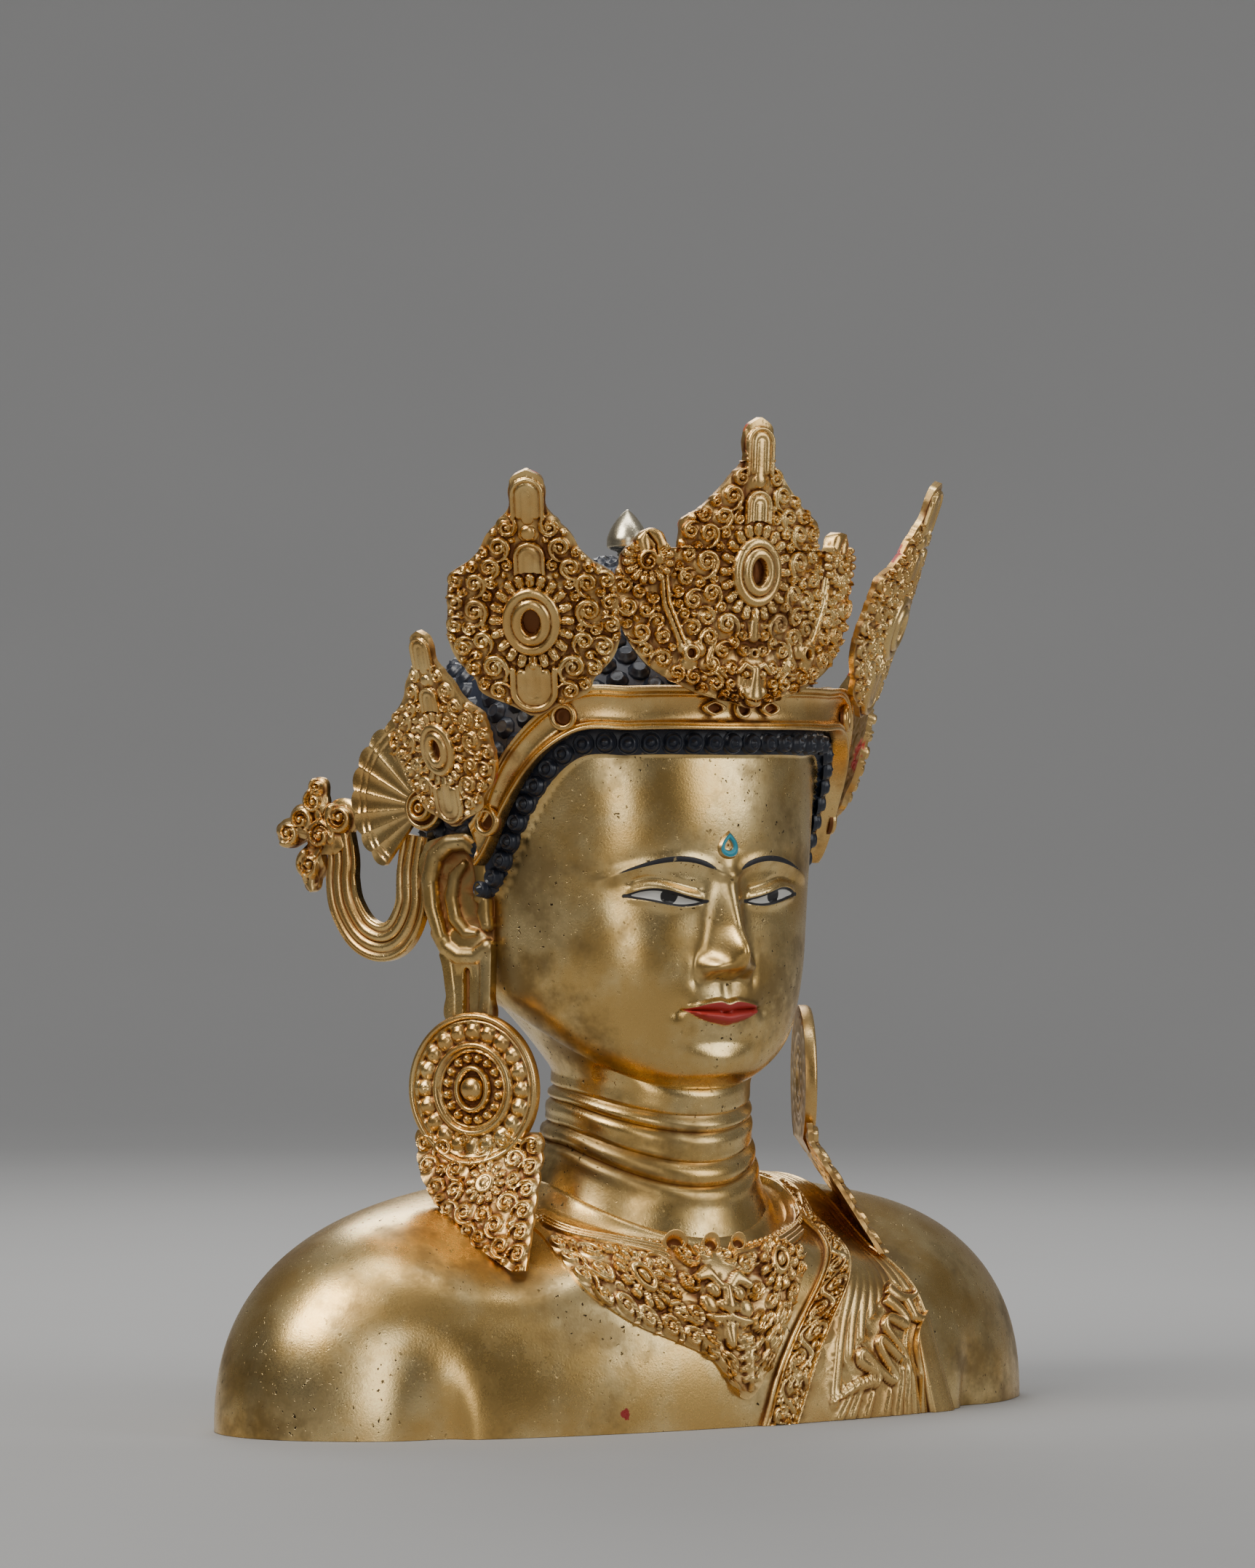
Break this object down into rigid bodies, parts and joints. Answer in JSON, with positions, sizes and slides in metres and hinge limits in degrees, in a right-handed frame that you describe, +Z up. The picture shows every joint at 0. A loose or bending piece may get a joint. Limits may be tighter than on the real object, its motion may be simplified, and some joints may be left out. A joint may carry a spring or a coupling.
{
  "type": "crowned buddha bust",
  "caption": "Gilt bust of a crowned buddha, cut flat below the shoulders, with a leafy crown, ear fans, looped ribbons and long pendant earrings.",
  "frame": {"origin": "on the flat underside, below the middle of the figure", "axes": "+Z up, the face looks along -Y, the figure's own left is +X"},
  "size_m": [0.4715, 0.2371, 0.4993],
  "materials": {
    "polished_gilt": "polished, with tarnish",
    "chased_gilt": "chased, dark in the hollows",
    "pale_gilt": "polished"
  },
  "bodies": {
    "root": {"bust": "polished_gilt", "crown_band": "chased_gilt", "crown_leaf_front": "chased_gilt", "crown_leaf_left": "chased_gilt", "crown_leaf_right": "chased_gilt", "crown_leaf_rear_left": "chased_gilt", "crown_leaf_rear_right": "chased_gilt", "fan_left": "chased_gilt", "fan_right": "chased_gilt", "ribbon_left": "chased_gilt", "ribbon_right": "chased_gilt", "earring_left": "chased_gilt", "earring_right": "chased_gilt", "topknot_jewel": "pale_gilt"}
  },
  "joints": []
}
